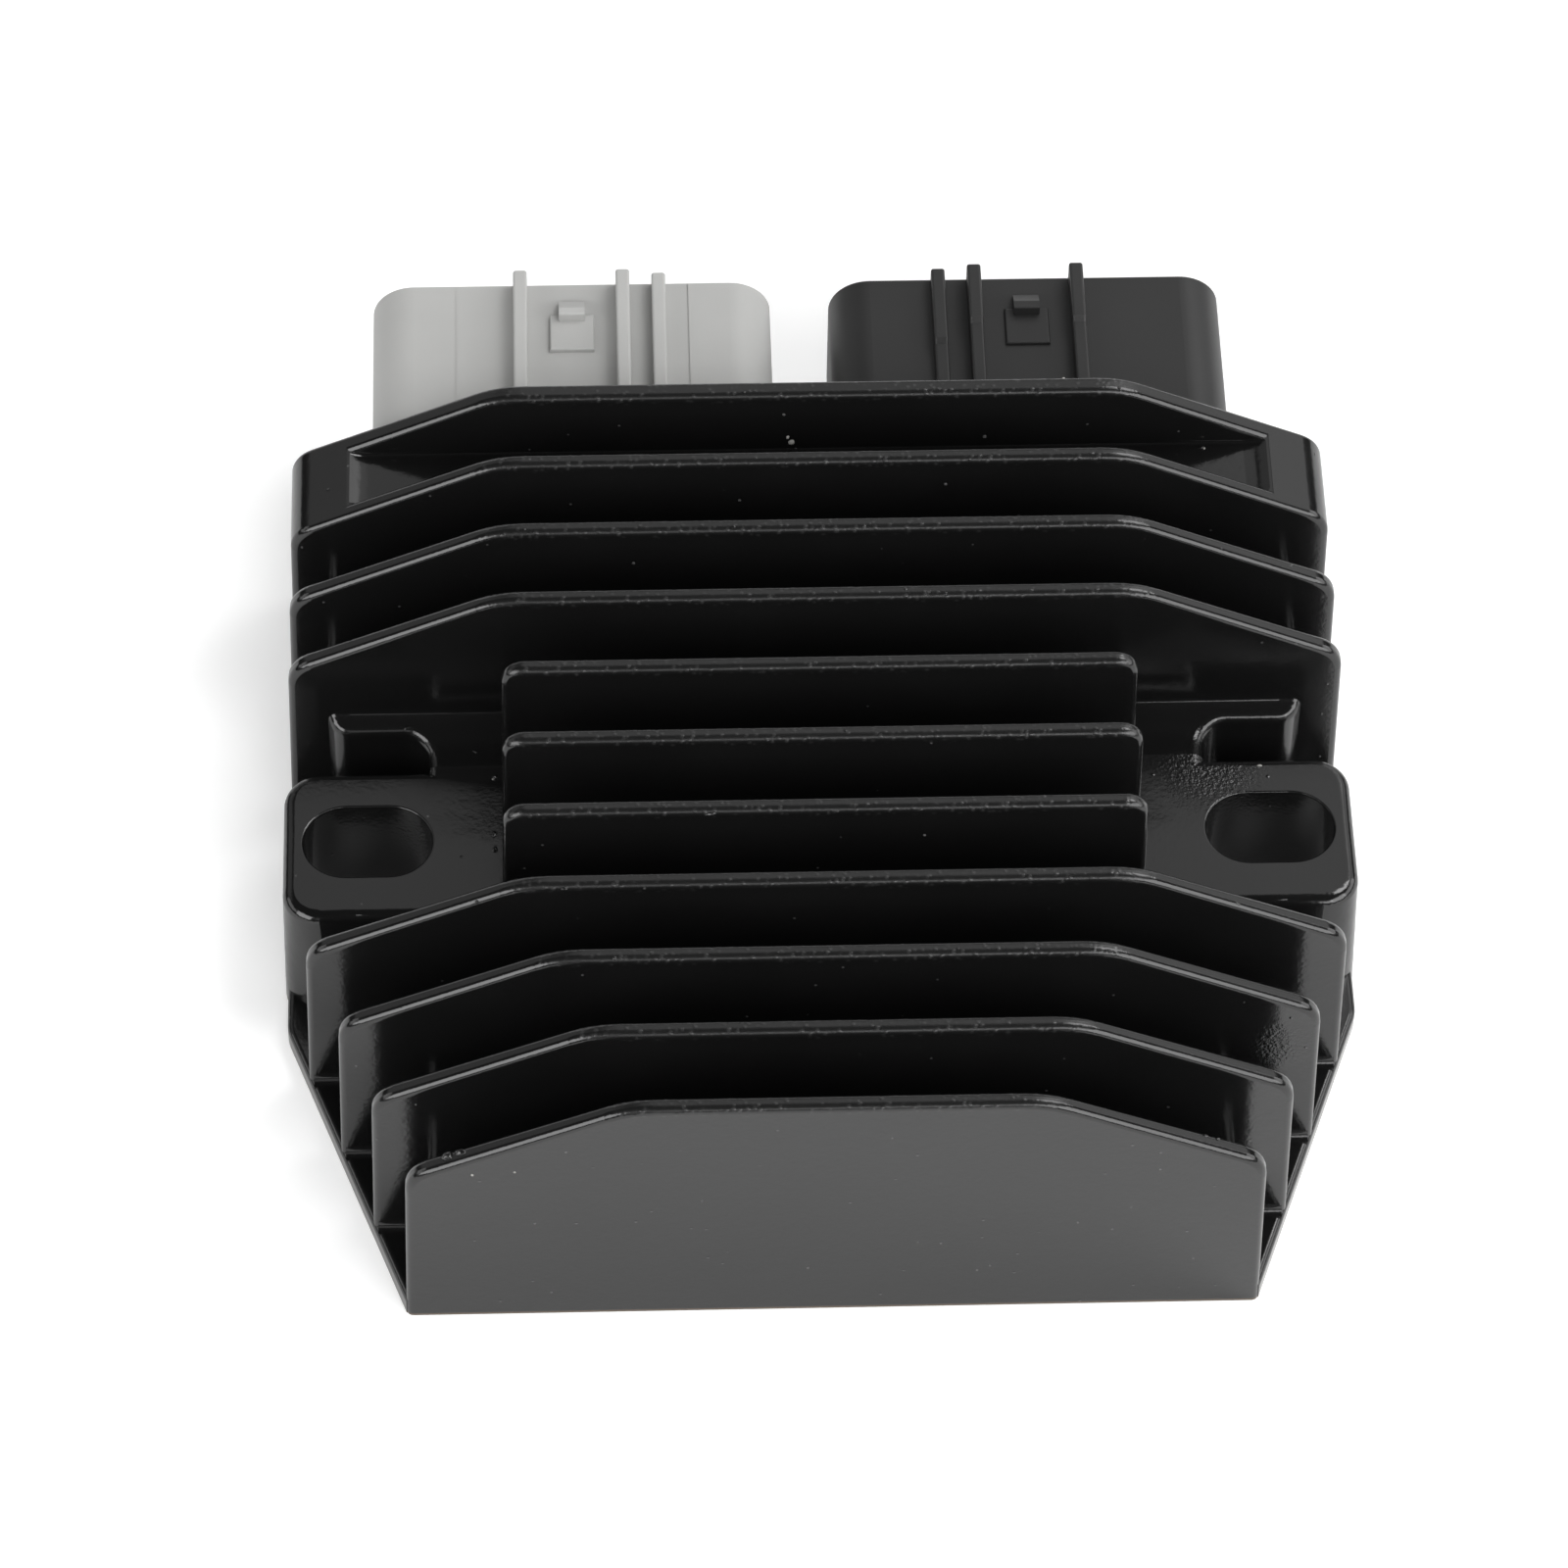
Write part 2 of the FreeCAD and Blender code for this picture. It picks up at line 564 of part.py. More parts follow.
def device_top():
    return FRONT_ROOM_TOP - PAD_SHEET_THICKNESS


def power_device(x, y):
    """Moulded package against the pad, with three leads bent down to the board."""
    top = device_top()
    bottom = top - DEVICE_THICKNESS
    front = y - DEVICE_LENGTH / 2
    body = prism_z([
        (x - DEVICE_WIDTH / 2, front, 0.5), (x + DEVICE_WIDTH / 2, front, 0.5),
        (x + DEVICE_WIDTH / 2, y + DEVICE_LENGTH / 2, 0.5),
        (x - DEVICE_WIDTH / 2, y + DEVICE_LENGTH / 2, 0.5),
    ], bottom, top)
    level = bottom + DEVICE_THICKNESS / 2
    end = front - LEAD_REACH
    outline = [(end, BOARD_TOP, 0), (end + LEAD_THICKNESS, BOARD_TOP, 0),
               (end + LEAD_THICKNESS, level, 0.3), (front + 0.5, level, 0),
               (front + 0.5, level + LEAD_THICKNESS, 0), (end, level + LEAD_THICKNESS, 0.8)]
    leads = [prism_x(outline, x + i * LEAD_PITCH - LEAD_WIDTH / 2, x + i * LEAD_PITCH + LEAD_WIDTH / 2)
             for i in (-1, 0, 1)]
    return body.fuse(leads).removeSplitter()


def insulating_pad():
    places = list(device_places())
    reach_x = max(x for x, _ in places) + DEVICE_WIDTH / 2 + 1
    low = min(y for _, y in places) - DEVICE_LENGTH / 2 - 1
    high = max(y for _, y in places) + DEVICE_LENGTH / 2 + 1
    return prism_z([(-reach_x, low, 2), (reach_x, low, 2), (reach_x, high, 2), (-reach_x, high, 2)],
                   device_top(), FRONT_ROOM_TOP)


def rear_board_middle():
    return (REAR_ROOM_FRONT + BLADE_LEG) / 2


def pair_places(share):
    return -share * REAR_ROOM_HALF, share * REAR_ROOM_HALF


def on_board(x, y, size):
    a, b, h = size
    return box(x - a / 2, x + a / 2, y - b / 2, y + b / 2, BOARD_TOP, BOARD_TOP + h)


def capacitor(x):
    can = Part.makeCylinder(CAPACITOR_RADIUS, CAPACITOR_HEIGHT, V(x, rear_board_middle(), BOARD_TOP))
    top = [e for e in can.Edges if e.BoundBox.ZMin > BOARD_TOP + CAPACITOR_HEIGHT - 0.01]
    return can.makeFillet(0.5, top)


def inner_parts():
    y = rear_board_middle()
    parts = {"circuit_board": circuit_board(), "insulating_pad": insulating_pad()}
    for i, (px, py) in enumerate(device_places(), 1):
        parts[f"power_device_{i}"] = power_device(px, py)
    parts["control_chip"] = on_board(0, y, CHIP_SIZE)
    for i, x in enumerate(pair_places(CAPACITOR_PLACE), 1):
        parts[f"capacitor_{i}"] = capacitor(x)
    for i, x in enumerate(pair_places(RESISTOR_PLACE), 1):
        parts[f"sense_resistor_{i}"] = on_board(x, y, RESISTOR_SIZE)
    return parts


def connector_parts():
    parts = {}
    rows = (("stator", STATOR_SHELL_CENTRE, STATOR_SHELL_WIDTH, 1),
            ("output", OUTPUT_SHELL_CENTRE, OUTPUT_SHELL_WIDTH, -1))
    for name, centre, width, side in rows:
        parts[f"{name}_connector"] = connector(centre, width, side)
        for i, x in enumerate(blade_places(centre), 1):
            parts[f"{name}_blade_{i}"] = blade(x)
    return parts


def potting_compound(held):
    """Filling of the rooms around everything that it holds."""
    return rooms(FILL_RECESS).cut(list(held.values())).removeSplitter()


def build():
    held = {**inner_parts(), **connector_parts()}
    parts = {"heatsink_housing": heatsink_housing(), "potting_compound": potting_compound(held)}
    parts.update(held)
    os.makedirs("parts", exist_ok=True)
    for name, shape in parts.items():
        shape.exportStep(f"parts/{name}.step")
    return parts


build()
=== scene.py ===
# %% [markdown]
# # A finned voltage regulator and rectifier
# The real object is a die casting in satin black with eleven cooling fins, two slotted mounting
# decks and two plug sockets, one grey and one black, at its rear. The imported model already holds
# every piece at its true size, so this lesson gives the pieces their finish, adds the small marks
# that moulding, casting and handling leave, and sets up the photograph's view.

import math

import bmesh
import bpy
from mathutils import Matrix, Vector, noise as unevenness


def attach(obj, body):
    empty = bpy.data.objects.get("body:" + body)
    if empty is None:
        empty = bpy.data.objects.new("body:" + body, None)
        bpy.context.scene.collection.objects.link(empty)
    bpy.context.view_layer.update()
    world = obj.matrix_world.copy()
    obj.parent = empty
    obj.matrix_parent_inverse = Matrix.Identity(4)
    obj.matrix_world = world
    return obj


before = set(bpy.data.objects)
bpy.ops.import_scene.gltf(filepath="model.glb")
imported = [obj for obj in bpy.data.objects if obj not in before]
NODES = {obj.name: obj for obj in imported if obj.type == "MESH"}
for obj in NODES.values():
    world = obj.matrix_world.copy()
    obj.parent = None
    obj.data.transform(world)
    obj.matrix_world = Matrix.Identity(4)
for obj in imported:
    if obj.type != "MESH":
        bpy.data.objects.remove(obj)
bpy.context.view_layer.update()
MM = 0.001

# %% [markdown]
# ## The photograph's view
# The product was photographed from the front at about 52 degrees above the table, with a long lens
# from two thirds of a metre away. A long lens keeps the fins nearly parallel. The camera is placed
# by an aim point, two angles and a distance, as a photographer would move round the table, and a
# last small roll tips the horizon as in the picture. A location and a rotation could be typed in
# as well, but these numbers can be changed one at a time while the picture is compared.

# %% Camera
AIM = Vector((-3.19, 5.56, 13.60)) * MM
VIEW_ELEVATION = 52.05
VIEW_AZIMUTH = -2.46
VIEW_ROLL = 1.01
VIEW_DISTANCE = 665.6 * MM
LENS = 162.4
SENSOR = 36.0
NEAREST, FARTHEST = 0.01, 20


def direction(azimuth, elevation):
    """From the part towards these angles in degrees: the azimuth runs from the front to the right."""
    turn, rise = math.radians(azimuth), math.radians(elevation)
    return Vector((math.sin(turn) * math.cos(rise), -math.cos(turn) * math.cos(rise),
                   math.sin(rise)))


def put_in_scene(name, data):
    thing = bpy.data.objects.new(name, data)
    bpy.context.scene.collection.objects.link(thing)
    return thing


def add_camera():
    data = bpy.data.cameras.new("view")
    data.lens, data.sensor_width = LENS, SENSOR
    data.clip_start, data.clip_end = NEAREST, FARTHEST
    camera = put_in_scene("view", data)
    towards = direction(VIEW_AZIMUTH, VIEW_ELEVATION)
    turn = towards.to_track_quat("Z", "Y").to_matrix().to_4x4()
    roll = Matrix.Rotation(math.radians(VIEW_ROLL), 4, "Z")
    camera.matrix_world = Matrix.Translation(AIM + towards * VIEW_DISTANCE) @ turn @ roll
    bpy.context.scene.camera = camera


add_camera()
bpy.context.scene.view_settings.view_transform = "Standard"
print("camera", round(VIEW_DISTANCE / MM), "mm away with a", LENS, "mm lens")

# %% [markdown]
# ## Plain finishes
# Every finish is a Principled shader, and its colour comes from noise in Object coordinates, which
# are metres on the part itself. Small helpers keep each finish short to read: one makes the
# material, one adds a noise with a size in millimetres, one mixes two colours. The board and its
# parts are sealed inside the resin, and crumbs are tiny, so colour and roughness are enough there:
# lacquer, moulding compound, bright metal, grit. Painted images would need every piece unwrapped
# first. Noise in space needs no unwrapping and shows no seams.

# %% Plain finishes
PLAIN = {  # light and dark colour, size of the blotches in millimetres, roughness, metallic
    "board_lacquer": ((0.03, 0.16, 0.07), (0.02, 0.11, 0.05), 3.0, 0.35, 0.0),
    "pad_sheet": ((0.45, 0.50, 0.55), (0.38, 0.43, 0.48), 2.0, 0.7, 0.0),
    "moulding_compound": ((0.030, 0.030, 0.032), (0.020, 0.020, 0.022), 0.5, 0.6, 0.0),
    "bright_can": ((0.62, 0.62, 0.64), (0.50, 0.50, 0.52), 4.0, 0.3, 1.0),
    # the pale crumb colour is also a painted highlight: a few mounds in it stand in for glints
    "crumb_and_glint": ((0.42, 0.41, 0.39), (0.16, 0.16, 0.15), 0.25, 0.5, 0.0),
    "dull_crumb": ((0.10, 0.10, 0.10), (0.04, 0.04, 0.04), 0.25, 0.5, 0.0),
}


def new_material(name, roughness, **sockets):
    material = bpy.data.materials.new(name)
    material.use_nodes = True
    shader = material.node_tree.nodes["Principled BSDF"]
    shader.inputs["Roughness"].default_value = roughness
    for socket, value in sockets.items():
        shader.inputs[socket.replace("_", " ")].default_value = value
    return material, material.node_tree, shader


def object_place(tree):
    return tree.nodes.new("ShaderNodeTexCoord").outputs["Object"]


def noise(tree, place, size_mm, detail=3.0):
    """Noise whose blotches are about size_mm across."""
    node = tree.nodes.new("ShaderNodeTexNoise")
    node.inputs["Scale"].default_value = 1 / (size_mm * MM)
    node.inputs["Detail"].default_value = detail
    node.inputs["Roughness"].default_value = 0.5
    tree.links.new(place, node.inputs["Vector"])
    return node.outputs["Fac"]


def blend(tree, factor, low, high):
    """Colour between low and high, each a colour or another node's output."""
    node = tree.nodes.new("ShaderNodeMix")
    node.data_type = "RGBA"
    tree.links.new(factor, node.inputs["Factor"])
    for socket, colour in ((node.inputs["A"], low), (node.inputs["B"], high)):
        if isinstance(colour, tuple):
            socket.default_value = (*colour, 1.0)
        else:
            tree.links.new(colour, socket)
    return node.outputs["Result"]


def plain_finish(name):
    light, dark, size_mm, roughness, metallic = PLAIN[name]
    material, tree, shader = new_material(name, roughness, Metallic=metallic)
    blotches = noise(tree, object_place(tree), size_mm)
    tree.links.new(blend(tree, blotches, dark, light), shader.inputs["Base Color"])
    return material


plain = {name: plain_finish(name) for name in PLAIN}
print("plain finishes:", ", ".join(plain))

# %% [markdown]
# ## Moulded plastics
# Both sockets are glass-filled nylon with a satin skin. The grey one shows slight cloudy
# differences in tone where the melt flowed, the black one mostly its gloss. The skin's texture is
# a few thousandths of a millimetre deep, so a bump does for it, and the mesh stays light. The
# helper stacks any number of bumps, since the coat of the casting needs six of them later.

# %% Plastics
GREY_LIGHT, GREY_DARK = (0.44, 0.44, 0.43), (0.385, 0.385, 0.377)
BLACK_LIGHT, BLACK_DARK = (0.018, 0.018, 0.018), (0.0125, 0.0125, 0.0125)
GREY_ROUGHNESS, BLACK_ROUGHNESS = 0.48, 0.45
CLOUDS_MM = 9.0
SKIN_MM, SKIN_DEPTH_MM = 0.35, 0.006


def add_bumps(tree, shader, layers):
    """Stacks bumps. Each layer is a height from 0 to 1 and what 1 stands for, in millimetres."""
    before = None
    for height, depth_mm in layers:
        node = tree.nodes.new("ShaderNodeBump")
        node.inputs["Distance"].default_value = depth_mm * MM
        tree.links.new(height, node.inputs["Height"])
        if before:
            tree.links.new(before, node.inputs["Normal"])
        before = node.outputs["Normal"]
    tree.links.new(before, shader.inputs["Normal"])


def moulded_plastic(name, light, dark, roughness):
    material, tree, shader = new_material(name, roughness)
    place = object_place(tree)
    tree.links.new(blend(tree, noise(tree, place, CLOUDS_MM), dark, light),
                   shader.inputs["Base Color"])
    add_bumps(tree, shader, ((noise(tree, place, SKIN_MM, 2.0), SKIN_DEPTH_MM),))
    return material


grey_plastic = moulded_plastic("grey_plastic", GREY_LIGHT, GREY_DARK, GREY_ROUGHNESS)
black_plastic = moulded_plastic("black_plastic", BLACK_LIGHT, BLACK_DARK, BLACK_ROUGHNESS)
print("plastics:", grey_plastic.name, "and", black_plastic.name)

# %% [markdown]
# ## Blades and filling
# The blades are tin-plated brass with fine scratches along their length, so their noise is
# stretched along Y. The filling is cast resin: it levels itself, so it is glossy with very long,
# shallow waves. In both, the noise that moves the colour moves the roughness too.

# %% Metal and resin
NOISE_LOW, NOISE_HIGH = 0.3, 0.7        # most of a noise lies between these
TIN_DARK, TIN_LIGHT = (0.62, 0.60, 0.55), (0.78, 0.76, 0.71)
TIN_ROUGHNESS = (0.22, 0.40)
SCRATCH_MM, SCRATCH_STRETCH = 0.25, (1, 0.06, 1)
RESIN_DARK, RESIN_LIGHT = (0.010, 0.010, 0.011), (0.018, 0.018, 0.018)
RESIN_ROUGHNESS = (0.12, 0.26)
RESIN_WAVES_MM, RESIN_DEPTH_MM = 18.0, 0.25


def spread(tree, value, low, high, to_low=0.0, to_high=1.0):
    """Maps low..high of a value to to_low..to_high, and keeps it within them."""
    node = tree.nodes.new("ShaderNodeMapRange")
    for key, number in zip(("From Min", "From Max", "To Min", "To Max"),
                           (low, high, to_low, to_high)):
        node.inputs[key].default_value = number
    tree.links.new(value, node.inputs["Value"])
    return node.outputs["Result"]


def tinned_metal():
    material, tree, shader = new_material("tinned_metal", 0.3, Metallic=1.0)
    stretched = tree.nodes.new("ShaderNodeMapping")
    stretched.inputs["Scale"].default_value = SCRATCH_STRETCH
    tree.links.new(object_place(tree), stretched.inputs["Vector"])
    scratches = noise(tree, stretched.outputs["Vector"], SCRATCH_MM, 2.0)
    tree.links.new(blend(tree, scratches, TIN_DARK, TIN_LIGHT), shader.inputs["Base Color"])
    tree.links.new(spread(tree, scratches, NOISE_LOW, NOISE_HIGH, *TIN_ROUGHNESS),
                   shader.inputs["Roughness"])
    return material


def cast_resin():
    material, tree, shader = new_material("cast_resin", 0.18)
    waves = noise(tree, object_place(tree), RESIN_WAVES_MM, 1.0)
    tree.links.new(blend(tree, waves, RESIN_DARK, RESIN_LIGHT), shader.inputs["Base Color"])
    tree.links.new(spread(tree, waves, NOISE_LOW, NOISE_HIGH, *RESIN_ROUGHNESS),
                   shader.inputs["Roughness"])
    add_bumps(tree, shader, ((waves, RESIN_DEPTH_MM),))
    return material


tin, resin = tinned_metal(), cast_resin()
print("blades:", tin.name, "filling:", resin.name)

# %% [markdown]
# ## Where the casting differs
# The coat isn't the same all over, so a few masks say where it changes, each from the place on the
# part. At the very foot a bare rim of metal shows. On the fins' flat tops the coat is rougher and
# grainy: the grain is a bump, and its lighter dots are a painted highlight that stands in for
# glints. Three patches came out of the mould rough. And each deck climbs a little
# before its cove, so it mirrors the bright wall over the fins and not the fins. The imported mesh
# stays as it is, so that slight rise is given by a very gentle bump. Masks could be painted too,
# but these few lines can be read and moved by a millimetre.

# %% Masks on the casting
BARE_EDGE_HEIGHT = 0.35 * MM
BARE_EDGE_FULL = 0.6                    # share of that height below which it is all bare
FLAT_TOPS = (29.9 * MM, 30.4 * MM)
DECK_CLIMBS = (1.0 * MM, 8.8 * MM)      # along Y, behind the slots
DECK_FALLS = (8.8 * MM, 13.5 * MM)      # where the cove takes it up again
DECK_INNER_SIDE = (20.0 * MM, 29.9 * MM)
ROUGH_PATCHES = (                       # middle and radius
    (Vector((37.0, 6.5, 13.0)) * MM, 6.0 * MM),
    (Vector((40.4, -27.6, 16.5)) * MM, 4.0 * MM),
    (Vector((-37.0, 3.0, 8.5)) * MM, 4.0 * MM),
)
PATCH_CORE = 0.3                        # share of the radius that is fully rough
PITS_MM = 0.32


def axes(tree, place):
    node = tree.nodes.new("ShaderNodeSeparateXYZ")
    tree.links.new(place, node.inputs["Vector"])
    return node.outputs


def math_node(tree, operation, a, b=0.0):
    node = tree.nodes.new("ShaderNodeMath")
    node.operation = operation
    for socket, value in zip(node.inputs, (a, b)):
        if isinstance(value, (int, float)):
            socket.default_value = value
        else:
            tree.links.new(value, socket)
    return node.outputs[0]


def bare_edge(tree, place):
    """1 at the foot of the casting, 0 over it."""
    return spread(tree, axes(tree, place)["Z"], BARE_EDGE_HEIGHT * BARE_EDGE_FULL,
                  BARE_EDGE_HEIGHT, 1.0, 0.0)


def flat_tops(tree, place):
    return spread(tree, axes(tree, place)["Z"], *FLAT_TOPS)


def deck_rise(tree, place):
    """0 on the deck, and 1 where its last stretch, steepening all the way, meets the cove."""
    along = axes(tree, place)
    climb = math_node(tree, "POWER", spread(tree, along["Y"], *DECK_CLIMBS), 2.0)
    fall = spread(tree, along["Y"], *DECK_FALLS, 1.0, 0.0)
    outside = spread(tree, math_node(tree, "ABSOLUTE", along["X"]), *DECK_INNER_SIDE)
    return math_node(tree, "MULTIPLY", math_node(tree, "MULTIPLY", climb, fall), outside)


def pits(tree, place):
    """Coarse grain inside the rough patches only."""
    share = 0.0
    for middle, radius in ROUGH_PATCHES:
        away = tree.nodes.new("ShaderNodeVectorMath")
        away.operation = "DISTANCE"
        away.inputs[1].default_value = middle
        tree.links.new(place, away.inputs[0])
        patch = spread(tree, away.outputs["Value"], radius * PATCH_CORE, radius, 1.0, 0.0)
        share = math_node(tree, "MAXIMUM", patch, share)
    return math_node(tree, "MULTIPLY", share, noise(tree, place, PITS_MM))


print("rough patches:", len(ROUGH_PATCHES), "and a bare rim of", BARE_EDGE_HEIGHT / MM, "mm")

# %% [markdown]
# ## Black coat on the casting
# The casting is dipped or sprayed black, and the coat follows the slightly uneven skin of the
# die casting below it. So the coat is nearly black and quite glossy, with an orange peel that
# breaks up the light along the edges, pimples where the casting was rough, and specks of dust.
# Pimples, specks and the grain of the flat tops are round dots at scattered places, made from a
# Voronoi texture's cells, of which only a share is kept. A plain noise would give clouds there and
# no dots. The grain's dots also get a share of the specks' pale colour, a painted highlight that
# stands in for the glints along the tops. Stacked bumps then give the whole skin: the decks' rise,
# the coarse pits, the grain, waves of a millimetre, a finer peel and the pimples.

# %% Black coat
COAT_COLOUR = (0.0045, 0.0045, 0.0045)
COAT_WORN = (0.0080, 0.0080, 0.0080)
COAT_ROUGHNESS = (0.12, 0.18)
COAT_IOR = 1.6
# colour of the dust specks, also given to the top grain as a painted highlight
DUST_AND_GLINT = (0.10, 0.10, 0.10)
BARE_EDGE = (0.085, 0.062, 0.042)
TOP_ROUGHNESS = 0.27
WORN_PATCHES_MM = 14.0
PIMPLES = (2.6, 0.19, 0.8)              # how far apart, radius in millimetres, share kept
SPECKS = (3.1, 0.17, 0.8)
TOP_GRAIN = (0.60, 0.26, 0.75)
# painted highlight: how much of the pale colour the top grain shows, standing in for glints
TOP_GRAIN_GLINT_SHARE = 0.22                   # how much of the dust's colour a grain shows
WAVES_MM, PEEL_MM = 1.3, 0.42
DECK_RISE_MM = 0.60
PIT_DEPTH_MM, GRAIN_DEPTH_MM, PIMPLE_DEPTH_MM = 0.08, 0.028, 0.05
WAVES_DEPTH_MM, PEEL_DEPTH_MM = 0.014, 0.010


def dots(tree, place, apart_mm, radius_mm, share):
    """Round dots about apart_mm apart, 1 at their middle, of which only a share is kept."""
    cells = tree.nodes.new("ShaderNodeTexVoronoi")
    cells.inputs["Scale"].default_value = 1 / (apart_mm * MM)
    tree.links.new(place, cells.inputs["Vector"])
    kept = tree.nodes.new("ShaderNodeSeparateColor")
    tree.links.new(cells.outputs["Color"], kept.inputs["Color"])
    round_dot = spread(tree, cells.outputs["Distance"], 0.0, radius_mm / apart_mm, 1.0, 0.0)
    return math_node(tree, "MULTIPLY", round_dot,
                     math_node(tree, "LESS_THAN", kept.outputs[0], share))


def coat_bumps(tree, place, grain, pimples):
    return ((deck_rise(tree, place), DECK_RISE_MM),
            (pits(tree, place), PIT_DEPTH_MM),
            (grain, GRAIN_DEPTH_MM),
            (noise(tree, place, WAVES_MM, 2.0), WAVES_DEPTH_MM),
            (noise(tree, place, PEEL_MM, 2.0), PEEL_DEPTH_MM),
            (pimples, PIMPLE_DEPTH_MM))


def black_coat():
    material, tree, shader = new_material("black_coat", 0.2, IOR=COAT_IOR)
    place = object_place(tree)
    patches = noise(tree, place, WORN_PATCHES_MM)
    tops = flat_tops(tree, place)
    pimples, specks = dots(tree, place, *PIMPLES), dots(tree, place, *SPECKS)
    grain = math_node(tree, "MULTIPLY", tops, dots(tree, place, *TOP_GRAIN))
    # the specks are dust; the top grain's share of the pale colour is a painted highlight, standing
    # in for glints
    dust_and_glints = math_node(tree, "MAXIMUM", specks, math_node(tree, "MULTIPLY", grain, TOP_GRAIN_GLINT_SHARE))
    coat_with_dust_and_glints = blend(tree, dust_and_glints, blend(tree, patches, COAT_COLOUR, COAT_WORN), DUST_AND_GLINT)
    tree.links.new(blend(tree, bare_edge(tree, place), coat_with_dust_and_glints, BARE_EDGE),
                   shader.inputs["Base Color"])
    coat_roughness = spread(tree, patches, NOISE_LOW, NOISE_HIGH, *COAT_ROUGHNESS)
    tops_roughness = math_node(tree, "MULTIPLY", tops, TOP_ROUGHNESS)
    tree.links.new(math_node(tree, "MAXIMUM", coat_roughness, tops_roughness),
                   shader.inputs["Roughness"])
    add_bumps(tree, shader, coat_bumps(tree, place, grain, pimples))
    return material


coat = black_coat()
print("black coat:", len(coat.node_tree.nodes), "nodes")

# %% [markdown]
# ## Giving each node its finish
# A node keeps its mesh and only gets a new material in its slot. Names that start alike share a
# finish, so a short table of name beginnings covers all of them. What isn't in the table is a
# package on the board.

# %% Finishes on the nodes
FINISHES = {
    "heatsink_housing": coat,
    "stator_connector": grey_plastic,
    "output_connector": black_plastic,
    "stator_blade": tin,
    "output_blade": tin,
    "potting_compound": resin,
    "circuit_board": plain["board_lacquer"],
    "insulating_pad": plain["pad_sheet"],
    "capacitor": plain["bright_can"],
}
for name, node in NODES.items():
    finish = next((FINISHES[start] for start in FINISHES if name.startswith(start)),
                  plain["moulding_compound"])
    node.data.materials.clear()
    node.data.materials.append(finish)
print("finishes:", sorted({n.data.materials[0].name for n in NODES.values()}))

# %% [markdown]
# ## Small marks on the casting
# A cast and dipped part is never clean: the coat gathers in beads on an edge, and crumbs of metal
# or dust stick in it. Each mark is a small uneven mound, half sunk in the casting's skin. It is
# given by a place near the surface, and the script seats it on the nearest point, along the skin.
# A bump would be simpler, but marks of this size stand out from an edge, so they are meshes.
# Four of the pale mounds are no crumbs but painted highlights: two at the feet of the short fins'
# left ends, where each fin meets the deck, and two on the beads of coat at the front wall's left
# slope.

# %% Places of the marks
BEADS = (  # place, length and width in millimetres, and the direction in which it lies
    ((-35.3, -43.1, 24.8), 1.3, 0.9, (0.7, 0, 0.7)),
    ((-34.3, -43.1, 25.6), 1.2, 0.85, (0.9, 0, 0.3)),
    ((33.15, -42.8, 24.85), 0.6, 0.4, (0.8, 0, -0.6)),
    ((34.1, -42.8, 23.9), 0.5, 0.4, (0.8, 0, -0.6)),
    ((-10.5, -10.8, 30.5), 1.3, 0.35, (1, 0.5, 0)),
    ((-23.9, -19.0, 30.5), 0.8, 0.5, (1, 0, 0)),
    ((-38.6, 11.9, 15.0), 0.9, 0.4, (1, 0.4, 0)),
    ((-32.2, 10.3, 13.3), 0.8, 0.25, (1, -0.5, 0)),
    ((-30.4, 7.3, 13.1), 0.7, 0.6, (0, 1, 0)),
    ((-30.4, -1.2, 13.1), 0.8, 0.6, (0, 1, 0)),
    ((-30.5, 0.6, 13.1), 0.9, 0.5, (0, 1, 0)),
    ((37.7, 38.1, 23.3), 0.7, 0.35, (1, 0.3, 0)),
)
# pale mounds: crumbs of metal or dust, and four painted highlights marked below
CRUMBS_AND_GLINTS = (
    ((-1.6, 38.8, 24.3), 0.75, 0.65, (1, 0, 0)),
    ((-2.0, 38.8, 25.0), 0.5, 0.4, (0, 0, 1)),
    ((24.3, 40.5, 30.7), 0.35, 0.3, (1, 0, 0)),
    ((38.0, 38.0, 23.3), 0.3, 0.25, (0, 1, 0)),
    ((-32.4, -44.2, 21.9), 0.32, 0.3, (1, 0, 0)),
    ((-28.65, -44.2, 22.2), 0.3, 0.25, (1, 0, 0)),
    ((41.8, 7.3, 13.0), 0.6, 0.3, (1, 0, 0)),
    # these two are painted highlights: the glint where the short fins' left ends meet the deck
    ((-30.5, 7.2, 13.2), 0.4, 0.35, (1, 0, 0)),
    ((-30.5, -1.3, 13.2), 0.4, 0.35, (1, 0, 0)),
    # these two are painted highlights: the glint on the beads of coat at the front wall's left slope
    ((-35.1, -43.1, 24.7), 0.5, 0.35, (0.7, 0, 0.7)),
    ((-34.2, -43.1, 25.5), 0.6, 0.4, (0.9, 0, 0.3)),
)
DULL_CRUMBS = (
    ((16.9, 38.8, 24.7), 0.45, 0.4, (1, 0, 0)),
    ((12.7, 30.5, 27.5), 0.35, 0.35, (1, 0, 0)),
    ((-2.4, 38.8, 28.3), 0.4, 0.35, (1, 0, 0)),
    ((-6.8, 30.5, 25.6), 0.35, 0.3, (1, 0, 0)),
    ((-17.0, 22.2, 26.5), 0.35, 0.3, (1, 0, 0)),
    ((9.0, -11.0, 27.0), 0.35, 0.3, (1, 0, 0)),
)
# the crumb count includes the four painted highlights
print("marks:", len(BEADS), "beads of coat,", len(CRUMBS_AND_GLINTS) + len(DULL_CRUMBS), "crumbs")

# %% [markdown]
# ## Modelling a mark
# A mound starts as a round ball, is squashed to its length, width and height, and is pushed in and
# out a little by a noise, so that no two are alike. Three directions, along the mound, across it
# and out of the skin, turn it into place. All marks of a kind are one mesh.

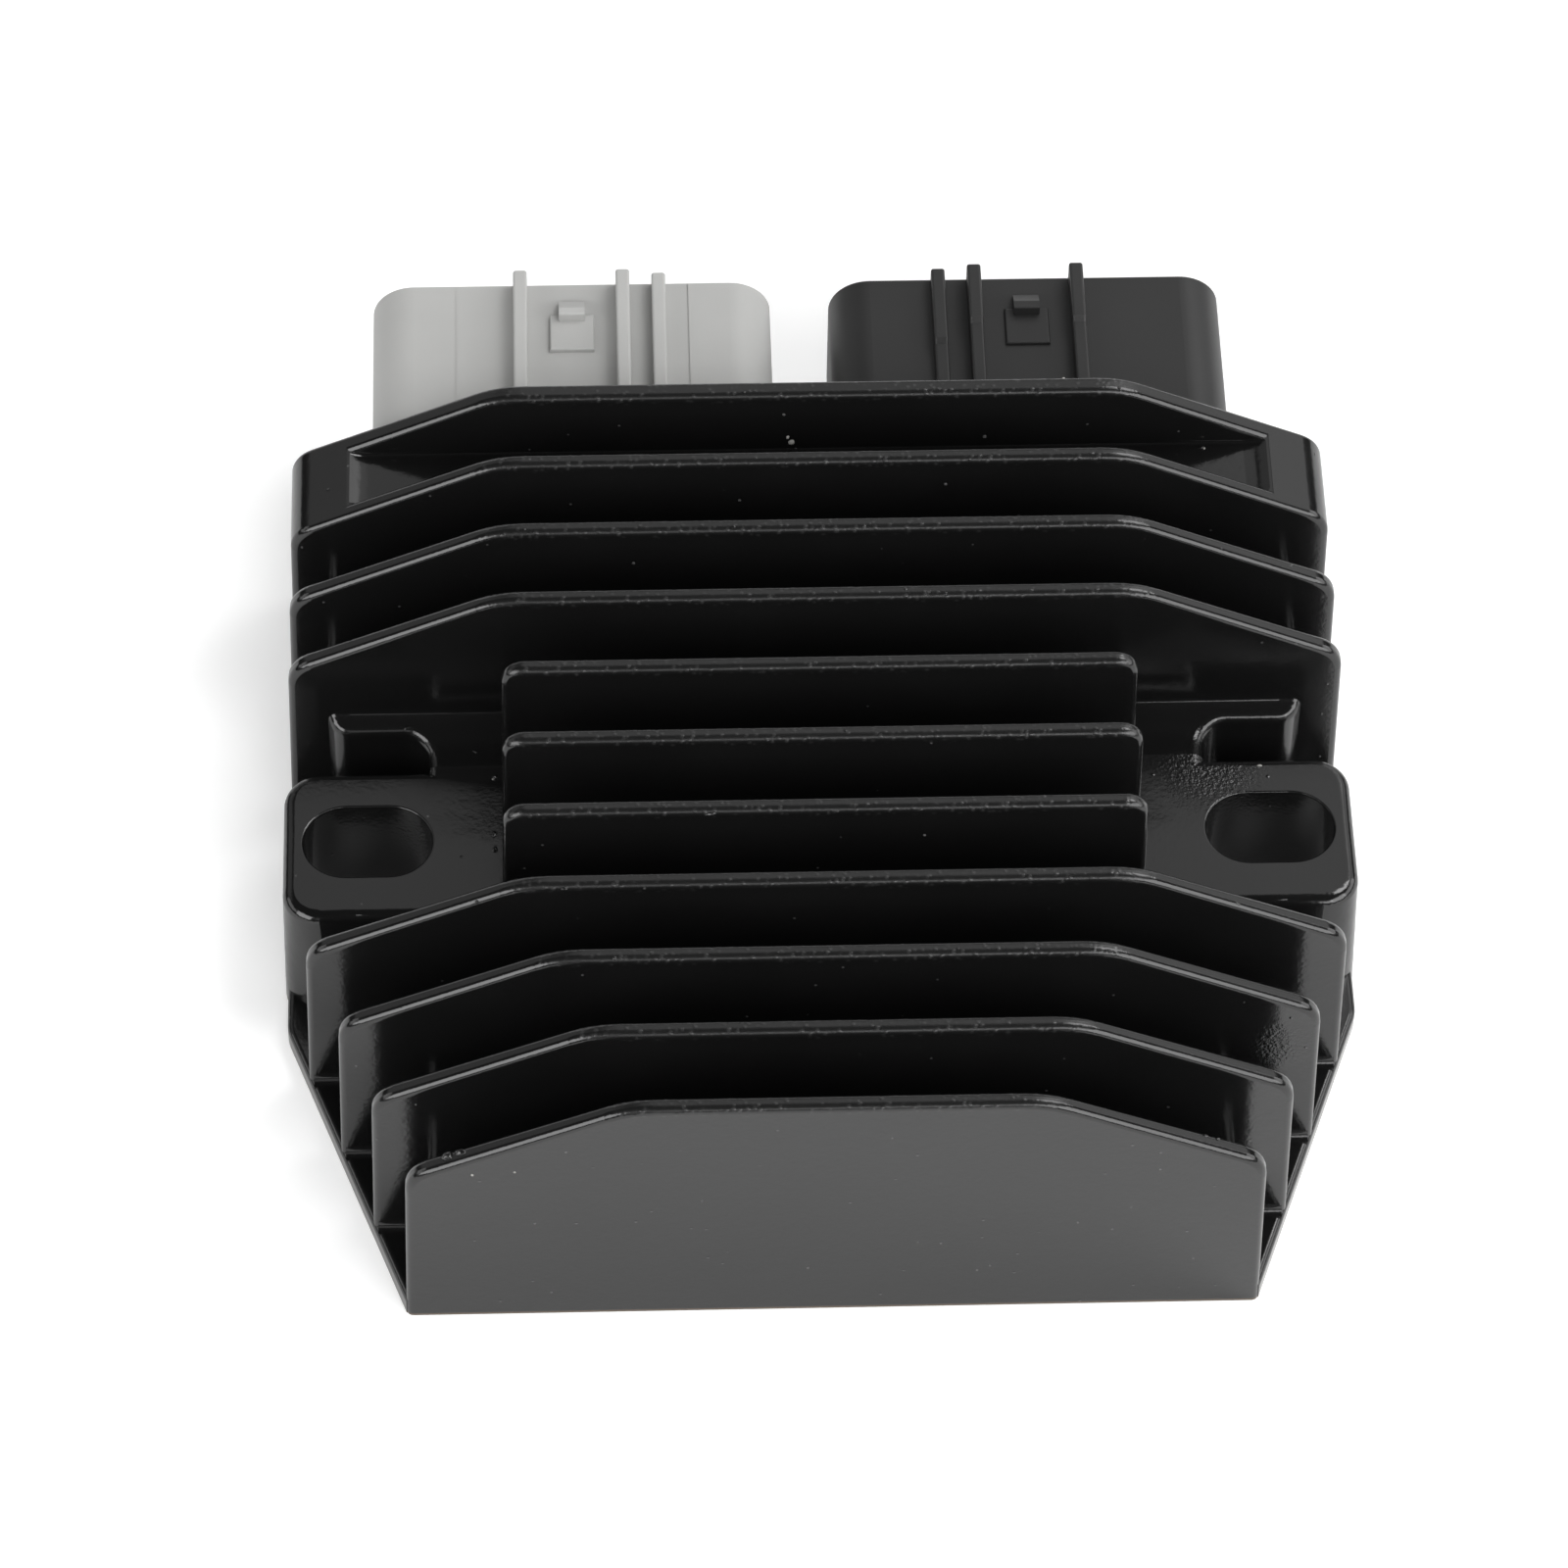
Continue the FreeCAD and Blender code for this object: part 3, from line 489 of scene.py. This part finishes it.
# %% Beads of coat and crumbs
MOUND_HEIGHT = 0.45                     # of its width
SWELL, SWELL_RANGE, SWELL_WAVES = 0.85, 0.30, 1.4
SEED_STEP = 7.3                         # how far apart two mounds look into the noise


def add_mound(shape, skin, place, length, width, lies, seed):
    _, spot, normal, _ = skin.closest_point_on_mesh(Vector(place) * MM)
    along = (Vector(lies) - Vector(lies).dot(normal) * normal).normalized()
    turned = Matrix((along, normal.cross(along), normal)).transposed().to_4x4()
    made = bmesh.ops.create_icosphere(shape, subdivisions=3, radius=1.0)
    half = Vector((length / 2, width / 2, width * MOUND_HEIGHT)) * MM
    for vert in made["verts"]:
        uneven = unevenness.noise(vert.co * SWELL_WAVES + Vector((SEED_STEP * seed, 0, 0)))
        swell = SWELL + SWELL_RANGE * uneven
        local = Vector(c * h for c, h in zip(vert.co * swell, half))
        vert.co = spot + turned @ local


def add_marks(name, marks, material):
    shape = bmesh.new()
    for seed, (place, length, width, lies) in enumerate(marks):
        add_mound(shape, NODES["heatsink_housing"], place, length, width, lies, seed)
    for face in shape.faces:
        face.smooth = True
    mesh = bpy.data.meshes.new(name)
    shape.to_mesh(mesh)
    shape.free()
    mesh.materials.append(material)
    piece = put_in_scene(name, mesh)
    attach(piece, "root")
    print(name, "has", len(mesh.polygons), "faces")


bpy.context.view_layer.update()
add_marks("coat_beads", BEADS, coat)
# pale crumbs, and the painted highlights among them
add_marks("light_crumbs_and_glints", CRUMBS_AND_GLINTS, plain["crumb_and_glint"])
add_marks("dull_crumbs", DULL_CRUMBS, plain["dull_crumb"])

# %% [markdown]
# ## Table
# The product lies on a plain white table. The photograph's table is so bright that only a faint
# shadow on the left remains, so the camera sees the table a little brighter than its own shade.
# The gloss of the parts sees a slightly brighter table as well, which helps to grey the front wall.
# Stronger lamps could whiten the table too, but they would wash out its shadow and the part.

# %% Table
TABLE_HALF = 1.5
TABLE_COLOUR = (0.9, 0.9, 0.9, 1)
WHITE = (1, 1, 1, 1)
TABLE_TO_CAMERA = 0.30
TABLE_TO_GLOSS = 0.09


def table_white():
    material, tree, shader = new_material("white_table", 0.9)
    shader.inputs["Base Color"].default_value = TABLE_COLOUR
    shader.inputs["Emission Color"].default_value = WHITE
    ray = tree.nodes.new("ShaderNodeLightPath").outputs
    to_camera = math_node(tree, "MULTIPLY", ray["Is Camera Ray"], TABLE_TO_CAMERA)
    to_gloss = math_node(tree, "MULTIPLY", ray["Is Glossy Ray"], TABLE_TO_GLOSS)
    tree.links.new(math_node(tree, "ADD", to_camera, to_gloss),
                   shader.inputs["Emission Strength"])
    return material


def add_table():
    mesh = bpy.data.meshes.new("table")
    shape = bmesh.new()
    bmesh.ops.create_grid(shape, x_segments=1, y_segments=1, size=TABLE_HALF)
    shape.to_mesh(mesh)
    shape.free()
    table = put_in_scene("table", mesh)
    mesh.materials.append(table_white())


add_table()
print("table:", 2 * TABLE_HALF, "m wide")

# %% [markdown]
# ## Light
# Glossy black shows its surroundings more than its own colour. The picture was taken inside a white
# tent: bright panels at both sides of the camera, one more panel just to its right, a weak one
# where the camera stands, a bright wall at the right, weaker ones at the left and behind, and a
# dark top. The key light stands high at the right and a little behind, so the only shadow falls to
# the left. Each of them is a wide area lamp, aimed at the part and given by the brightness that its
# face shows. A last lamp over the camera lights the matt surfaces and isn't mirrored in the gloss.
# One picture of a studio could light it all, but lamps can be moved and dimmed one by one until
# each mirrored edge in the black coat lies where the photograph has it.

# %% Tent walls
WALLS = {  # azimuth from the front towards the right, elevation, width, height, brightness
    "key_light": (116, 58, 0.45, 0.45, 6.1),
    "front_left_light": (-47, 27, 0.75, 0.60, 4.2),
    "front_middle_light": (3, 27, 0.65, 0.55, 0.5),
    "front_right_light": (50, 27, 0.80, 0.60, 3.8),
    "inner_right_light": (19.5, 27, 0.47, 0.42, 3.0),
    "right_wall_light": (92, 22, 0.9, 0.45, 2.2),
    "right_back_wall_light": (133, 32, 0.8, 0.55, 0.90),
    "back_right_light": (154, 52, 0.45, 0.55, 0.19),
    "back_wall_light": (164, 50, 0.85, 0.70, 0.54),
    "low_back_light": (180, 11, 2.0, 0.30, 1.0),
    "left_back_wall_light": (-140, 32, 0.8, 0.55, 0.33),
    "left_wall_light": (-92, 22, 0.7, 0.40, 1.3),
}
FILL_LIGHT = (10, 53, 0.7, 0.5, 4.0)
WALL_DISTANCE = 1.1
TENT_TOP = 0.03


def add_wall(name, azimuth, elevation, width, height, brightness, seen_in_gloss=True):
    towards = direction(azimuth, elevation)
    data = bpy.data.lights.new(name, "AREA")
    data.shape, data.size, data.size_y = "RECTANGLE", width, height
    data.energy = brightness * math.pi * width * height
    lamp = put_in_scene(name, data)
    lamp.location = towards * WALL_DISTANCE
    lamp.rotation_euler = towards.to_track_quat("Z", "Y").to_euler()
    lamp.visible_glossy = seen_in_gloss
    return brightness * width * height / WALL_DISTANCE ** 2 * towards.z / math.pi


def tent_top(strength):
    """A dim world over the tent that the camera sees as white."""
    world = bpy.data.worlds.new("tent_top")
    bpy.context.scene.world = world
    world.use_nodes = True
    background = world.node_tree.nodes["Background"]
    background.inputs["Color"].default_value = WHITE
    ray = world.node_tree.nodes.new("ShaderNodeLightPath")
    level = world.node_tree.nodes.new("ShaderNodeMix")
    level.inputs["A"].default_value, level.inputs["B"].default_value = strength, 1.0
    world.node_tree.links.new(ray.outputs["Is Camera Ray"], level.inputs["Factor"])
    world.node_tree.links.new(level.outputs["Result"], background.inputs["Strength"])


tent_top(TENT_TOP)
level = TENT_TOP + sum(add_wall(name, *wall) for name, wall in WALLS.items())
level += add_wall("fill_light", *FILL_LIGHT, seen_in_gloss=False)
print("light on a level surface, where 1 shows a colour as written:", round(level, 2))
